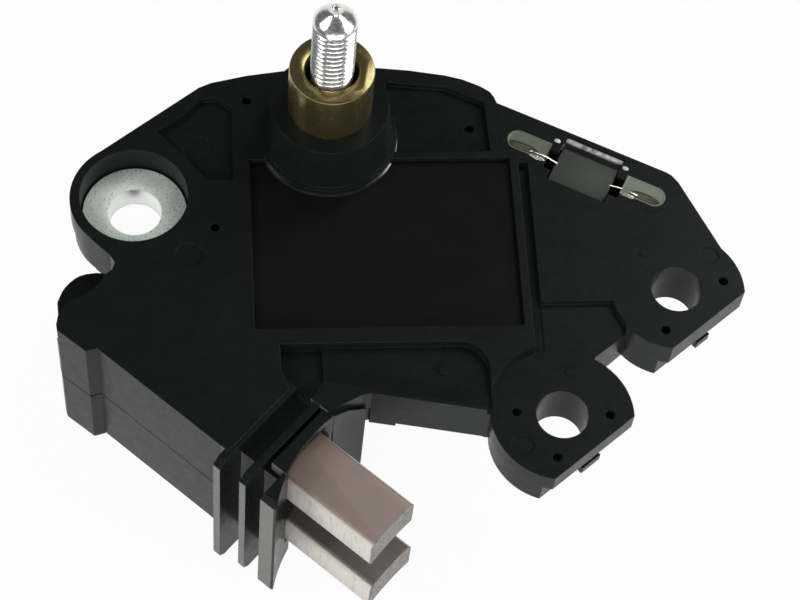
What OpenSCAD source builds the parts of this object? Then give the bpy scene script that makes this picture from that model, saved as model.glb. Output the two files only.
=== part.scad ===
// Voltage regulator of an alternator, with its brush holder, in millimetres.
// The origin is the axis of the left steel bush, on the mounting face under the plate. +Z runs towards the stud.

/* [Plate] */
// thickness from the mounting face to the top face
plate_t = 7; // [6.6:0.1:7.6]
// how far the lower half of the outer wall stands back
wall_inset = 0.3; // [0.15:0.05:0.4]
// height of the parting groove in the outer wall
parting_z = 3.4; // [3.2:0.1:3.6]
// radius of the left ear, round the steel bush
bush_ear_r = 7.4; // [7.1:0.05:7.6]

/* [Steel bush] */
// radius of the bore
bush_bore_r = 3.12; // [2.6:0.02:3.4]
// radius of the sleeve
bush_sleeve_r = 4.2; // [4:0.05:4.5]
// radius of the flange
bush_flange_r = 6.1; // [5.6:0.05:6.15]
// thickness of the flange
bush_flange_t = 1.2; // [0.9:0.05:1.5]

/* [Plain ears] */
// position of the far ear along the plate
ear_far_x = 62.06; // [61.5:0.02:62.6]
// position of the far ear across the plate
ear_far_y = -13.64; // [-14:0.02:-13.2]
// position of the near ear along the plate
ear_near_x = 47.53; // [47.1:0.01:48]
// position of the near ear across the plate
ear_near_y = -29.14; // [-29.6:0.02:-28.8]
// radius of the hole in both plain ears
ear_hole_r = 2.95; // [2.6:0.05:3.3]
// distance from the hole to the flat that cuts each ear
ear_flat = 5.3; // [4.8:0.1:5.8]

/* [Stud] */
// radius of the stud
stud_r = 2.5; // [2.2:0.05:2.8]
// height of the stud above the top face
stud_above = 25.5; // [22:0.5:30]
// radius of the brass sleeve
sleeve_r = 4.9; // [4.6:0.05:5.1]
// bore radius of the brass sleeve
sleeve_bore_r = 3.07; // [2.9:0.01:3.3]
// height of the brass sleeve above the top face
sleeve_above = 13.5; // [11:0.5:16]
// height of the moulded collar above the top face
boss_above = 6.5; // [5:0.25:8]

/* [Brushes] */
// width of a brush
brush_w = 7.2; // [6.8:0.1:7.4]
// height of a brush
brush_h = 4.8; // [4.5:0.1:5]
// length of a new brush
brush_l = 20; // [18:0.5:22]
// distance between the two brushes
brush_pitch = 10.6; // [10.3:0.1:11]
// how far a new brush reaches from the brush datum
brush_reach = 16.4; // [15.4:0.2:17]
// travel of a brush into its channel
brush_stroke = 9; // [6:0.5:9.5]
// clearance on each side of a brush
brush_gap = 0.1; // [0.05:0.01:0.15]
// radius of the wire of a brush spring
spring_wire_r = 0.3; // [0.2:0.05:0.35]

/* [Capacitor] */
// length of the body
capacitor_l = 7.1; // [6.7:0.1:7.3]
// width of the body
capacitor_w = 5; // [4.6:0.1:5.2]
// width of the two slots beside it
slot_w = 2.7; // [2.4:0.1:2.9]

/* [Hidden] */
$fn = 96;

top = plate_t;
ear_far = [ear_far_x, ear_far_y];
ear_near = [ear_near_x, ear_near_y];
ear_far_r = 7.9;
ear_near_r = 8.1;
flat_turn = 38.2;
flat_step = 1.1;
boss_at = [22.75, 8.05];
boss_base_r = 7.7;
boss_rim_r = 6.93;
recess = 0.8;
strip_t = 0.8;
strip_z = top - 2.6;
strip_top = strip_z + strip_t;
sink_t = 1.6;
sink_lip = 0.8;
substrate_t = 0.64;
substrate_top = sink_t + substrate_t;
chip_z = substrate_top;

// brush frame: u runs out of the box along a brush, v across it, the datum lies near the mouth
datum = [16.1, -29.8];
frame_turn = -42.5;
ring_u = 22;
ring_v = 1.54;
upper_z = top - 5.8;
lower_z = upper_z - brush_pitch;
channel_end = -24;
brush_back = brush_reach - brush_l;
channel_w = brush_w + 2 * brush_gap;
channel_h = brush_h + 2 * brush_gap;
box_bottom = lower_z - brush_h / 2 - 2.3;
neck_half = 4.9;
box_left = -6.5;
box_rear = -27;
box_front = -1.5;
collar_half = 8.3;
collar_bottom = box_bottom - 2.1;
nose_tip = 6.4;
nose_left = collar_half - 0.1;
nose_right = collar_half + 0.55;
mouth_r = norm([ring_u - nose_tip, nose_left + ring_v]);
mouth_u = ring_u - mouth_r;
rebate_u = mouth_u - 0.5;
rebate = 0.45;
liner_half = 4.35;
brush_end_r = 15;
lower_more = 0.5;

// capacitor frame: a runs along the body, b across it
capacitor_at = [52.7, 2.3];
capacitor_turn = -28;
capacitor_top = top - 0.4;
capacitor_floor = top - 4;
slot_half = 10.1;
slot_start = 4.85;
slot_deep = 1;
bead_in = 3.55;
bead_out = 4.05;

well = [13.5, -18, 44.1, 4.7];
well_recess = 0.7;

outline = concat(
  [[-4.42, 5.67], [2.3, 10.86], [7.7, 15.03], [9.1, 15.68], [13.4, 16.7], [17.7, 17.33], [29.2, 17.68],
   [32.9, 17.28], [37.2, 16.52], [39.3, 15.9], [41.4, 14.87], [42.5, 14.05], [42.9, 13.3], [43.2, 12.45],
   [50.3, 8.75], [62.6, 2.3], [63.2, 1.85], [63.9, 0.85], [64.6, -0.75]],
  [ear_far + [5.75, 5.55], ear_far + [7.82, 1.14], ear_far, ear_far + [-7.26, -6.16],
   ear_near + [4.47, 7.24], ear_near, ear_near + [-8.13, 0.14], ear_near + [-8.63, 0.34]],
  [[29.3, -27], [26.3, -26.45], at_uv(mouth_u + 1, 8.6), at_uv(mouth_u - 0.6, 4.4), at_uv(box_front - 0.5, 4.4),
   at_uv(box_front - 0.5, -6.5), at_uv(-21.4, -6.5), at_uv(-22.1, -7.6), at_uv(-26.3, -7.75), [-8.65, -17], [-8.45, -15.8],
   [-8.05, -14.9], [-7.15, -13.9], [-6.04, -13.4], [-4.92, -12.75], [-3.8, -11.6], [-3.35, -10.7], [-2.45, -9.95],
   [-2.15, -9], [-2.7, -8.05], [-4.9, -5.85]]);

function at_uv(u, v) = datum + [u * cos(frame_turn) - v * sin(frame_turn), u * sin(frame_turn) + v * cos(frame_turn)];
function unit(a) = a / norm(a);
function shrink(p, d) = [for (i = [0 : len(p) - 1])
  let (a = p[(i + len(p) - 1) % len(p)], b = p[i], c = p[(i + 1) % len(p)],
    e = unit(b - a), f = unit(c - b), m = [e.y, -e.x], n = [f.y, -f.x])
  b + d * (m + n) / (1 + m * n)];

module in_brush_frame() {
  translate([datum.x, datum.y, 0]) rotate([0, 0, frame_turn]) children();
}

module in_capacitor_frame() {
  translate([capacitor_at.x, capacitor_at.y, 0]) rotate([0, 0, capacitor_turn]) children();
}

// stretch a flat profile, drawn across and up, along the brush direction
module along_u(from, to) {
  translate([from, 0, 0]) rotate([90, 0, 90]) linear_extrude(height = to - from) children();
}

// stretch a flat shape, drawn in plan, between two heights
module slab(from, to) {
  translate([0, 0, from]) linear_extrude(height = to - from) children();
}

module box(low, high) {
  translate(low) cube(high - low);
}

// flat strip with square corners through a list of points
module strip(points, w, from, to) {
  for (i = [0 : len(points) - 2])
    let (a = points[i], b = points[i + 1])
      translate([a.x, a.y, from])
        rotate([0, 0, atan2(b.y - a.y, b.x - a.x)])
          translate([-w / 2, -w / 2, 0])
            cube([norm(b - a) + w, w, to - from]);
}

module ear(at, r, flat) {
  intersection() {
    translate(at) circle(r = r);
    translate(at) rotate(flat_turn) translate([-2 * r, -flat]) square([4 * r, 4 * r]);
  }
}

module plate_shape(d, flat) {
  polygon(shrink(outline, d));
  translate([0, -0.2]) circle(r = bush_ear_r - d);
  ear(ear_far, ear_far_r - d, flat);
  ear(ear_near, ear_near_r - d, flat);
}

module plate() {
  slab(0, parting_z) plate_shape(wall_inset, ear_flat - flat_step);
  slab(parting_z, parting_z + 0.15) plate_shape(wall_inset + 0.15, ear_flat - flat_step);
  slab(parting_z + 0.15, top) plate_shape(0, ear_flat);
  slab(0, parting_z + 0.3) polygon([[26.3, -26.45], [26.3, -24], [29.3, -24], [29.3, -27]]);
}

// moulded box round both brush channels, below the plate
module brush_box() {
  parting = lower_z + 5.6;
  upper = parting_z + 0.3;
  in_brush_frame() {
    along_u(box_rear, box_front)
      polygon([[box_left, upper], [box_left, parting + 0.16], [box_left + 0.3, parting], [box_left + 0.05, parting - 0.16],
        [box_left + 0.12, box_bottom + 0.3], [box_left + 0.42, box_bottom], [neck_half - 0.3, box_bottom],
        [neck_half, box_bottom + 0.3], [neck_half, 0], [0, upper]]);
    for (s = [[box_bottom + 0.1, parting - 0.16, 0.06], [parting - 0.16, parting + 0.16, 0.3], [parting + 0.16, upper, 0]])
      slab(s[0], s[1])
        polygon([[-26.3, -7.75 + s[2]], [-22.1, -7.6 + s[2]], [-21.4, -6.5 + s[2]], [-21.4, -4], [box_rear, -4],
          [box_rear, -7.3 + s[2]]]);
  }
}

// one thin collar round the neck
module collar(from, to, left, right, drop) {
  low = collar_bottom - drop;
  in_brush_frame()
    along_u(from, to)
      polygon([[left, low + 0.8], [left + 0.8, low], [right - 0.8, low], [right, low + 0.8], [right, 0.5],
        [neck_half, 0.5], [neck_half - 0.4, top - 0.05], [left + 1, top - 0.05], [left, top - 1]]);
}

module neck_and_nose() {
  in_brush_frame()
    difference() {
      union() {
        box([box_front - 0.4, -neck_half, box_bottom + 0.2], [nose_tip, neck_half, top - 1.8]);
        box([mouth_u - 1.2, -liner_half, upper_z], [nose_tip, liner_half, top - 0.2]);
        along_u(mouth_u + 0.5, nose_tip)
          polygon([[0, collar_bottom], [-nose_left + 0.6, collar_bottom], [-nose_left, collar_bottom + 0.6],
            [-nose_left, top - 1], [-nose_left + 0.7, top - 0.5], [-3, top - 0.3], [0, top - 0.2]]);
        along_u(mouth_u - 1, nose_tip)
          polygon([[0, collar_bottom], [nose_right - 0.6, collar_bottom], [nose_right, collar_bottom + 0.6],
            [nose_right, top - 3.1], [7.6, top - 2.2], [6.7, top - 1.4], [5.4, top - 0.8], [liner_half, top - 0.3],
            [0, top - 0.3]]);
      }
      translate([ring_u, ring_v, collar_bottom - 1]) cylinder(r = mouth_r, h = top - collar_bottom + 2);
      translate([nose_tip - 0.9, -nose_left - 0.55, collar_bottom - 1])
        rotate([0, 0, -45])
          cube([3, 2, top - collar_bottom + 2]);
      box([mouth_u - 0.25, liner_half, lower_z - 2.6], [nose_tip, liner_half + 0.2, top]);
    }
}

// channel for one brush, with a shallow wider step at its mouth
module channel(z, head) {
  in_brush_frame() {
    box([channel_end - 0.6, -channel_w / 2, z - channel_h / 2], [7, channel_w / 2, z + channel_h / 2]);
    box([rebate_u, -channel_w / 2 - rebate / 2, z - channel_h / 2 - rebate],
      [8, channel_w / 2 + rebate / 2, z + channel_h / 2 + head]);
  }
}

// opening at the rear of the brush box that the cap fills
module cap_seat() {
  in_brush_frame() {
    box([box_rear - 1, -4.2, lower_z - 3.05], [-25.4, 4.2, upper_z + 3.05]);
    for (z = [lower_z, upper_z])
      box([-25.4, -channel_w / 2, z - channel_h / 2], [channel_end, channel_w / 2, z + channel_h / 2]);
  }
}

module boss() {
  slab(0, top) translate(boss_at) circle(r = boss_base_r);
  translate([boss_at.x, boss_at.y, top]) cylinder(r1 = boss_base_r, r2 = boss_rim_r, h = boss_above);
  translate([boss_at.x, boss_at.y, top]) cylinder(r = boss_base_r + 0.35, h = 0.35);
}

module well_cut() {
  difference() {
    box([well[0], well[1], sink_t], [well[2], well[3], top + 1]);
    translate([boss_at.x, boss_at.y, 0]) cylinder(r = boss_base_r + 0.35, h = top + 2);
  }
}

module nub() {
  slab(0, 2.9)
    polygon([[-8.6, -15], [-8.83, -11.85], [-8.56, -11.06], [-8.3, -10.4], [-8, -9.87], [-7.44, -9.2], [-6.88, -8.69],
      [-6.31, -8.33], [-5.6, -8.1], [-4.4, -7.95], [-2.6, -8.2], [-2.6, -12], [-6, -15]]);
}

// shallow pocket along the lower edge and the deeper bay at its left end
module label_pocket() {
  slab(top - 1.2, top + 1) {
    polygon([[20.9, -20], [36.4, -20], [39.7, -23.3], [39.7, -28.1], [38.8, -28.25], [29.3, -26.35], [20.9, -24.6]]);
    translate([36.4, -23.3]) circle(r = 3.3);
  }
  slab(top - 1.7, top + 1) {
    polygon([[16.3, -20], [21, -20], [21, -24.6], [20.2, -26], at_uv(0.6, 3.9), at_uv(-2.1, 3.9), [16.3, -23.2]]);
  }
}

// level of the near ear, one step below the top face
module near_ear_step() {
  slab(top - recess, top + 1) {
    difference() {
      union() {
        translate([46.2, -22]) square([9.4, 7]);
        translate(ear_near) circle(r = 8.5);
      }
      translate(ear_far) circle(r = 7.7);
    }
  }
}

module corner_recesses() {
  slab(top - recess, top + 1) {
    difference() {
      polygon([[2.8, 8.8], [6, 11.2], [8, 13.4], [9.8, 13.6], [11.5, 12.2], [11.5, 2], [8.6, 2]]);
      circle(r = 8);
    }
    difference() {
      polygon([[30, 15.6], [37, 14.9], [41.6, 12.6], [41.9, 5.6], [30.5, 5.6]]);
      translate(boss_at) circle(r = 8.2);
    }
  }
}

// small round marks left by the mould: deep core pins, then shallow ejector faces
module mould_marks() {
  for (p = [[13.3, 13.1], [9.3, -4.5], [39.7, 9.3], [52.9, -29.3], [46.5, -34.4],
      ear_far + [5.54, 0.94], ear_far + [-1.86, -5.36], ear_near + [-5.13, 0.44]])
    translate([p.x, p.y, top - 1.6]) cylinder(r = 0.55, h = 3, $fn = 24);
  for (p = [[7.4, 6.7, 1.7, recess], [66.4, -9.2, 1.1, 0], [42.8, -32.8, 1.3, recess], [6.3, -8.2, 1.6, 0]])
    translate([p.x, p.y, top - p[3] - 0.15]) cylinder(r = p[2], h = 3, $fn = 48);
}

// raised pips on the top face
module pips() {
  translate([58.7, -8.8, top - 0.5]) cylinder(r = 0.45, h = 0.7, $fn = 24);
  translate([48.8, -23.8, top - recess - 0.5]) cylinder(r = 0.45, h = 0.7, $fn = 24);
  translate([34.6, -23.2, top - 1.7]) cylinder(r = 0.5, h = 0.75, $fn = 24);
}

module slot_shape() {
  translate([-slot_half + slot_w / 2, -slot_w / 2]) square([2 * slot_half - slot_w, slot_w]);
  for (s = [-1, 1])
    translate([s * (slot_half - slot_w / 2), 0]) circle(r = slot_w / 2);
}

// window for the capacitor: the pocket under its body and the long slot for its leads
module capacitor_cut() {
  in_capacitor_frame() {
    slab(top - slot_deep, top + 1) slot_shape();
    box([-slot_start, -slot_w / 2, capacitor_floor], [slot_start, slot_w / 2, top + 1]);
    box([-capacitor_l / 2 - 0.15, -capacitor_w / 2 - 0.15, capacitor_floor],
      [capacitor_l / 2 + 0.15, bead_out, top + 1]);
  }
}

module gate_tabs() {
  for (e = [[ear_far.x, ear_far.y, 1], [ear_near.x, ear_near.y, 1.4]])
    translate([e.x, e.y, 1.5]) rotate([0, 0, flat_turn]) translate([-e[2], -ear_flat - 0.05, 0])
      cube([2 * e[2], flat_step + 0.6, 1.2]);
}

module housing() {
  color([0.09, 0.09, 0.1])
    difference() {
      union() {
        difference() {
          union() {
            plate();
            brush_box();
            nub();
            gate_tabs();
          }
          label_pocket();
          corner_recesses();
          near_ear_step();
          well_cut();
          box([45.1, -21, top - 0.9], [46.2, 4, top + 1]);
        }
        boss();
        collar(box_front - 1, box_front, -collar_half - 0.15, collar_half, 1.4);
        collar(1, 1.9, -collar_half + 0.2, collar_half - 0.2, 0.4);
        neck_and_nose();
        pips();
      }
      mould_marks();
      channel(upper_z, 2.3);
      channel(lower_z, rebate);
      cap_seat();
      capacitor_cut();
      bush_seat();
      translate([ear_far.x, ear_far.y, -1]) cylinder(r = ear_hole_r, h = top + 2);
      translate([ear_near.x, ear_near.y, -1]) cylinder(r = ear_hole_r, h = top + 2);
      stud_body(0);
      translate([boss_at.x, boss_at.y, strip_top]) cylinder(r = sleeve_r, h = top + boss_above);
      heat_sink_body();
      supply_strip();
      earth_strip();
      bush_strip();
      upper_terminal();
      lower_terminal();
    }
}

module bush_seat() {
  flange_z = top - 3.66 - bush_flange_t;
  translate([0, 0, -1]) cylinder(r = bush_sleeve_r, h = top);
  translate([0, 0, flange_z]) cylinder(r = bush_flange_r + 0.15, h = top);
}

module mounting_bush() {
  flange_z = top - 3.66 - bush_flange_t;
  color([0.72, 0.76, 0.72])
    difference() {
      union() {
        cylinder(r = bush_sleeve_r, h = flange_z + bush_flange_t);
        translate([0, 0, flange_z]) cylinder(r = bush_flange_r, h = bush_flange_t);
      }
      translate([0, 0, -1]) cylinder(r = bush_bore_r, h = top);
    }
}

// stud with its round head, moulded in under the collar
module stud_body(detail) {
  head_z = 1.4;
  tip = top + stud_above;
  translate([boss_at.x, boss_at.y, head_z]) cylinder(r = 4.4, h = strip_z - head_z);
  translate([boss_at.x, boss_at.y, head_z]) cylinder(r = stud_r - 0.2, h = tip - 4.3 - head_z);
  translate([boss_at.x, boss_at.y, top + sleeve_above]) cylinder(r = stud_r, h = stud_above - 4.3 - sleeve_above);
  if (detail > 0) {
    translate([boss_at.x, boss_at.y, tip - 4.3]) cylinder(r1 = stud_r, r2 = 0.95, h = 3.4);
    translate([boss_at.x, boss_at.y, tip - 0.9]) cylinder(r = 0.9, h = 0.9);
  }
}

module terminal_stud() {
  color([0.76, 0.77, 0.75]) stud_body(1);
}

module stud_sleeve() {
  color([0.72, 0.62, 0.32])
    translate([boss_at.x, boss_at.y, strip_top])
      difference() {
        cylinder(r = sleeve_r, h = top + sleeve_above - strip_top);
        translate([0, 0, -1]) cylinder(r = sleeve_bore_r, h = top + sleeve_above + 2);
      }
}

module capacitor_body() {
  color([0.27, 0.29, 0.27])
    difference() {
      in_capacitor_frame()
        box([-capacitor_l / 2, -capacitor_w / 2, capacitor_floor], [capacitor_l / 2, capacitor_w / 2, capacitor_top]);
      lead_body(-1);
      lead_body(1);
    }
}

// flat lead from half a millimetre inside the body to the strip in a slot
module lead_body(side) {
  floor_z = top - slot_deep;
  in_capacitor_frame()
    mirror([side < 0 ? 1 : 0, 0, 0])
      box([capacitor_l / 2 - 0.5, -0.3, floor_z], [slot_half - 2.5, 0.3, floor_z + 0.25]);
}

module capacitor_lead_supply() {
  color([0.7, 0.7, 0.66]) lead_body(-1);
}

module capacitor_lead_earth() {
  color([0.7, 0.7, 0.66]) lead_body(1);
}

module capacitor_adhesive() {
  color([0.55, 0.56, 0.54])
    in_capacitor_frame()
      box([-capacitor_l / 2 - 0.15, bead_in, capacitor_floor], [capacitor_l / 2 + 0.15, bead_out, top - 0.25]);
}

// tinned strip in one slot, joggled down to the level of the buried strips
module slot_tab(side) {
  in_capacitor_frame()
    mirror([side < 0 ? 1 : 0, 0, 0]) {
      slab(strip_top, top - slot_deep)
        intersection() {
          slot_shape();
          translate([slot_start, -slot_w]) square([slot_half, 2 * slot_w]);
        }
      slab(strip_z, strip_top)
        translate([slot_half - slot_w, -slot_w / 2 + 0.2]) square([slot_w - 0.6, slot_w - 0.4]);
    }
}

function in_slot(a) = capacitor_at + a * [cos(capacitor_turn), sin(capacitor_turn)];

// buried strip that enters the well and ends in a foot on the circuit
module foot(at, w) {
  box([at.x - w / 2, at.y - strip_t / 2, substrate_top], [at.x + w / 2, at.y + strip_t / 2, strip_top]);
}

module side_foot(at, w) {
  box([at.x - strip_t / 2, at.y - w / 2, substrate_top], [at.x + strip_t / 2, at.y + w / 2, strip_top]);
}

module supply_strip() {
  end = in_slot(-slot_half + slot_w / 2);
  slot_tab(-1);
  difference() {
    union() {
      translate([boss_at.x, boss_at.y, strip_z]) cylinder(r = 4.4, h = strip_t);
      strip([boss_at + [3, 2.4], [38, 10.9], end], 1.8, strip_z, strip_top);
      strip([[34, 10.6], [34, 2.6]], 1.8, strip_z, strip_top);
    }
    translate([boss_at.x, boss_at.y, strip_z - 1]) cylinder(r = stud_r - 0.2, h = 4);
  }
  foot([34, 2.1], 1.8);
}

module earth_strip() {
  end = in_slot(slot_half - slot_w / 2);
  slot_tab(1);
  strip([end, [57, -5.4], [42.6, -5.4]], 1.8, strip_z, strip_top);
  side_foot([42.1, -5.4], 1.8);
}

module bush_strip() {
  eye_z = top - 3.66 - bush_flange_t - strip_t;
  difference() {
    union() {
      translate([0, 0, eye_z]) cylinder(r = bush_flange_r - 0.2, h = strip_t);
      box([4, -2.2, eye_z], [12, -0.2, eye_z + strip_t]);
    }
    translate([0, 0, eye_z - 1]) cylinder(r = bush_sleeve_r, h = 4);
  }
  box([11.2, -2.2, eye_z], [12, -0.2, strip_top]);
  box([11.2, -2.2, strip_z], [15.4, -0.2, strip_top]);
  side_foot([15.4, -1.2], 2);
}

module upper_terminal() {
  in_brush_frame() box([channel_end - 0.6, -2.2, upper_z - 1.95], [channel_end, 2.2, strip_top]);
  strip([at_uv(channel_end + 0.5, -0.6), [4, -15], [15, -15]], 2, strip_z, strip_top);
  side_foot([15.4, -15], 2);
}

module lower_terminal() {
  in_brush_frame() {
    box([channel_end - 0.6, -2, lower_z - 1.9], [channel_end, 4.4, lower_z + 1.1]);
    box([channel_end - 0.6, 3.8, lower_z - 1.9], [channel_end + 1.6, 4.4, strip_top]);
  }
  strip([at_uv(channel_end + 0.5, 4.6), [5, -9.6], [15, -9.6]], 2, strip_z, strip_top);
  side_foot([15.4, -9.6], 2);
}

module lead_frame_supply() {
  color([0.55, 0.57, 0.5]) supply_strip();
}

module lead_frame_earth() {
  color([0.55, 0.57, 0.5]) earth_strip();
}

module lead_frame_bush() {
  color([0.55, 0.57, 0.5]) bush_strip();
}

module brush_terminal_upper() {
  color([0.6, 0.55, 0.42]) upper_terminal();
}

module brush_terminal_lower() {
  color([0.6, 0.55, 0.42]) lower_terminal();
}

module brush_box_cap() {
  color([0.12, 0.12, 0.13])
    in_brush_frame() {
      box([-26.4, -4.2, lower_z - 3.05], [-25.4, 4.2, upper_z + 3.05]);
      for (z = [lower_z, upper_z])
        box([-25.4, -channel_w / 2, z - channel_h / 2], [channel_end - 0.6, channel_w / 2, z + channel_h / 2]);
    }
}

// brush with bevelled upper edges, its working end worn to the curve of the slip ring
module brush(z, more) {
  half = brush_w / 2;
  reach = brush_reach + more;
  color([0.53, 0.47, 0.43])
    in_brush_frame()
      difference() {
        along_u(brush_back, reach)
          polygon([[-half, z - brush_h / 2], [half, z - brush_h / 2], [half, z + brush_h / 2 - 0.8],
            [half - 0.55, z + brush_h / 2], [-half + 0.55, z + brush_h / 2], [-half, z + brush_h / 2 - 0.8]]);
        translate([reach + sqrt(brush_end_r * brush_end_r - half * half), 0, z - brush_h])
          cylinder(r = brush_end_r, h = 2 * brush_h);
      }
}

module brush_upper() {
  brush(upper_z, 0);
}

module brush_lower() {
  brush(lower_z, lower_more);
}

// coil spring between the contact strip and the back of a brush
module spring(z) {
  turns = 8;
  long = brush_back - channel_end;
  mean_r = 1.9;
  wire_turn = 360 * turns * spring_wire_r / long;
  color([0.62, 0.63, 0.64])
    in_brush_frame()
      translate([channel_end, 0, z])
        rotate([0, 90, 0])
          linear_extrude(height = long, twist = -360 * turns, slices = 20 * turns, $fn = 10)
            polygon([for (k = [0 : 9]) let (t = 36 * k, r = mean_r + spring_wire_r * cos(t), w = wire_turn * sin(t))
              [r * cos(w), r * sin(w)]]);
}

module brush_spring_upper() {
  spring(upper_z);
}

module brush_spring_lower() {
  spring(lower_z);
}

module pigtail(z) {
  color([0.65, 0.4, 0.25])
    in_brush_frame()
      translate([channel_end, 0, z]) rotate([0, 90, 0]) cylinder(r = 0.5, h = brush_back - channel_end, $fn = 32);
}

module pigtail_upper() {
  pigtail(upper_z);
}

module pigtail_lower() {
  pigtail(lower_z);
}

module potting_fill() {
  color([0.085, 0.09, 0.08])
    difference() {
      intersection() {
        well_cut();
        box([well[0], well[1], sink_t], [well[2], well[3], top - well_recess]);
      }
      substrate_body();
      chip_bodies();
      supply_strip();
      earth_strip();
      bush_strip();
      upper_terminal();
      lower_terminal();
    }
}

module heat_sink_body() {
  box([16.2, -16.8, 0], [41.4, -1.6, sink_t]);
  box([15, -17.6, sink_t - sink_lip], [42.6, -0.8, sink_t]);
}

module heat_sink() {
  color([0.75, 0.76, 0.77]) heat_sink_body();
}

module substrate_body() {
  box([14.4, -17.2, sink_t], [43.2, -0.6, substrate_top]);
  box([32, -0.6, sink_t], [43.2, 3.6, substrate_top]);
}

module circuit_substrate() {
  color([0.9, 0.88, 0.82]) substrate_body();
}

module chip_bodies() {
  regulator_chip_body();
  power_transistor_body();
  freewheel_diode_body();
}

module regulator_chip_body() {
  box([21, -8.6, chip_z], [26.4, -3.6, chip_z + 1.5]);
}

module power_transistor_body() {
  box([30, -9.4, chip_z], [36.6, -3.4, chip_z + 1.2]);
}

module freewheel_diode_body() {
  box([22, -15.4, chip_z], [26, -12.2, chip_z + 1.1]);
}

module regulator_chip() {
  color([0.16, 0.17, 0.19]) regulator_chip_body();
}

module power_transistor() {
  color([0.2, 0.2, 0.22]) power_transistor_body();
}

module freewheel_diode() {
  color([0.25, 0.24, 0.22]) freewheel_diode_body();
}

housing();
mounting_bush();
terminal_stud();
stud_sleeve();
capacitor_body();
capacitor_lead_supply();
capacitor_lead_earth();
capacitor_adhesive();
lead_frame_supply();
lead_frame_earth();
lead_frame_bush();
brush_terminal_upper();
brush_terminal_lower();
brush_box_cap();
brush_upper();
brush_lower();
brush_spring_upper();
brush_spring_lower();
pigtail_upper();
pigtail_lower();
potting_fill();
heat_sink();
circuit_substrate();
regulator_chip();
power_transistor();
freewheel_diode();
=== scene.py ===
"""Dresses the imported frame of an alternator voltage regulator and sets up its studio."""

import logging
import math
from contextlib import contextmanager
from dataclasses import dataclass, field
from enum import Enum
from typing import Callable, Iterator, Sequence

import bmesh
import bpy
from mathutils import Matrix, Vector


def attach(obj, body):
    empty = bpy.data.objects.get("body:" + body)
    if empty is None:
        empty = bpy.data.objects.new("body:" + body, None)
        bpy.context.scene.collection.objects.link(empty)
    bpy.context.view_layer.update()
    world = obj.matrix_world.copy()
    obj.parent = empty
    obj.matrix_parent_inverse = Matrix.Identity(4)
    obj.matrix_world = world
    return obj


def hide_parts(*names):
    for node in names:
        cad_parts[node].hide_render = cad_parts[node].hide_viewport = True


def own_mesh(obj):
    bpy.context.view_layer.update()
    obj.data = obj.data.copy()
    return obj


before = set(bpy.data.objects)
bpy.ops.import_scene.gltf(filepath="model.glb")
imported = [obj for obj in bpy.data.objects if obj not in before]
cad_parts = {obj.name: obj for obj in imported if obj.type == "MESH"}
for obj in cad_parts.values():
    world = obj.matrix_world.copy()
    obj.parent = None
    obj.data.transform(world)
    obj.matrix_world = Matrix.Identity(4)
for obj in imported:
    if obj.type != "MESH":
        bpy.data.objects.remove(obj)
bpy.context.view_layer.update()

LOG = logging.getLogger("regulator")

Colour = tuple[float, float, float]
Point = tuple[float, float, float]
Pair = tuple[float, float]
Piece = bpy.types.Object
Socket = bpy.types.NodeSocket

MM = 0.001
FACES_UP = 0.9
DRILL_REACH = 30.0
BRUSH_AT: Pair = (16.1, -29.8)
BRUSH_TURN = math.radians(42.5)
BRUSH_DATUM: Point = (BRUSH_AT[0] * MM, BRUSH_AT[1] * MM, 0.0)
BRUSH_OUT: Point = (0.737277, -0.675590, 0.0)
BRUSH_ACROSS: Point = (0.675590, 0.737277, 0.0)
STUD_AT: Pair = (22.75, 8.05)


class Body(Enum):
    """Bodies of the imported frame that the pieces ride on."""

    HOLDER = "holder"
    UPPER = "upper_brush"
    LOWER = "lower_brush"


def srgb(red: float, green: float, blue: float) -> Colour:
    """Turn an 8-bit display colour into linear light.

    Args:
        red: Red, 0 to 255.
        green: Green, 0 to 255.
        blue: Blue, 0 to 255.

    Returns:
        The colour in linear light.
    """
    def linear(value: float) -> float:
        """Linear light of one 8-bit channel."""
        share = value / 255.0
        return share / 12.92 if share <= 0.04045 else ((share + 0.055) / 1.055) ** 2.4
    return linear(red), linear(green), linear(blue)


def times(colour: Colour, share: float, more: float = 0.0) -> Colour:
    """A colour times a share, with a little more added to each channel."""
    return tuple(share * value + more for value in colour)


def in_metres(x: float, y: float, z: float) -> Point:
    """A point that is given in millimetres, in metres."""
    return x * MM, y * MM, z * MM


# Materials


@dataclass(frozen=True)
class Grain:
    """One noise pattern, and where patches of a second colour show in it.

    Its size is in metres. Detail is its levels of finer noise, and pull how far it is drawn about. Patches
    start at one level of the noise and are full at another, where the second colour has its share.
    """

    size: float
    detail: float
    start: float = 0.3
    full: float = 0.7
    share: float = 1.0
    pull: float = 0.0


class Wiring:
    """Short calls that add nodes to a node tree and join them."""

    def __init__(self, tree: bpy.types.NodeTree) -> None:
        """Start on an emptied tree.

        Args:
            tree: The tree, whose own nodes are removed.
        """
        self.tree = tree
        tree.nodes.clear()

    def link(self, source: Socket, target: Socket) -> None:
        """Join two sockets."""
        self.tree.links.new(source, target)

    def add(self, kind: str, inputs: dict[str | int, float | Point | Socket],
            **options: str | int) -> bpy.types.Node:
        """Add a node, set its options and fill its inputs.

        Args:
            kind: Blender's name of the node's kind, without the ShaderNode at its front.
            inputs: Names or numbers of sockets, each with a constant or another node's socket.
            **options: The node's own settings.

        Returns:
            The node.
        """
        node = self.tree.nodes.new(f"ShaderNode{kind}")
        for key, value in options.items():
            setattr(node, key, value)
        for key, value in inputs.items():
            if isinstance(value, Socket):
                self.link(value, node.inputs[key])
            else:
                node.inputs[key].default_value = value
        return node

    def maths(self, operation: str, first: Socket, second: Socket | float = 0.0) -> Socket:
        """One sum, such as ADD, on two values."""
        return self.add("Math", {0: first, 1: second}, operation=operation).outputs["Value"]


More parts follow.
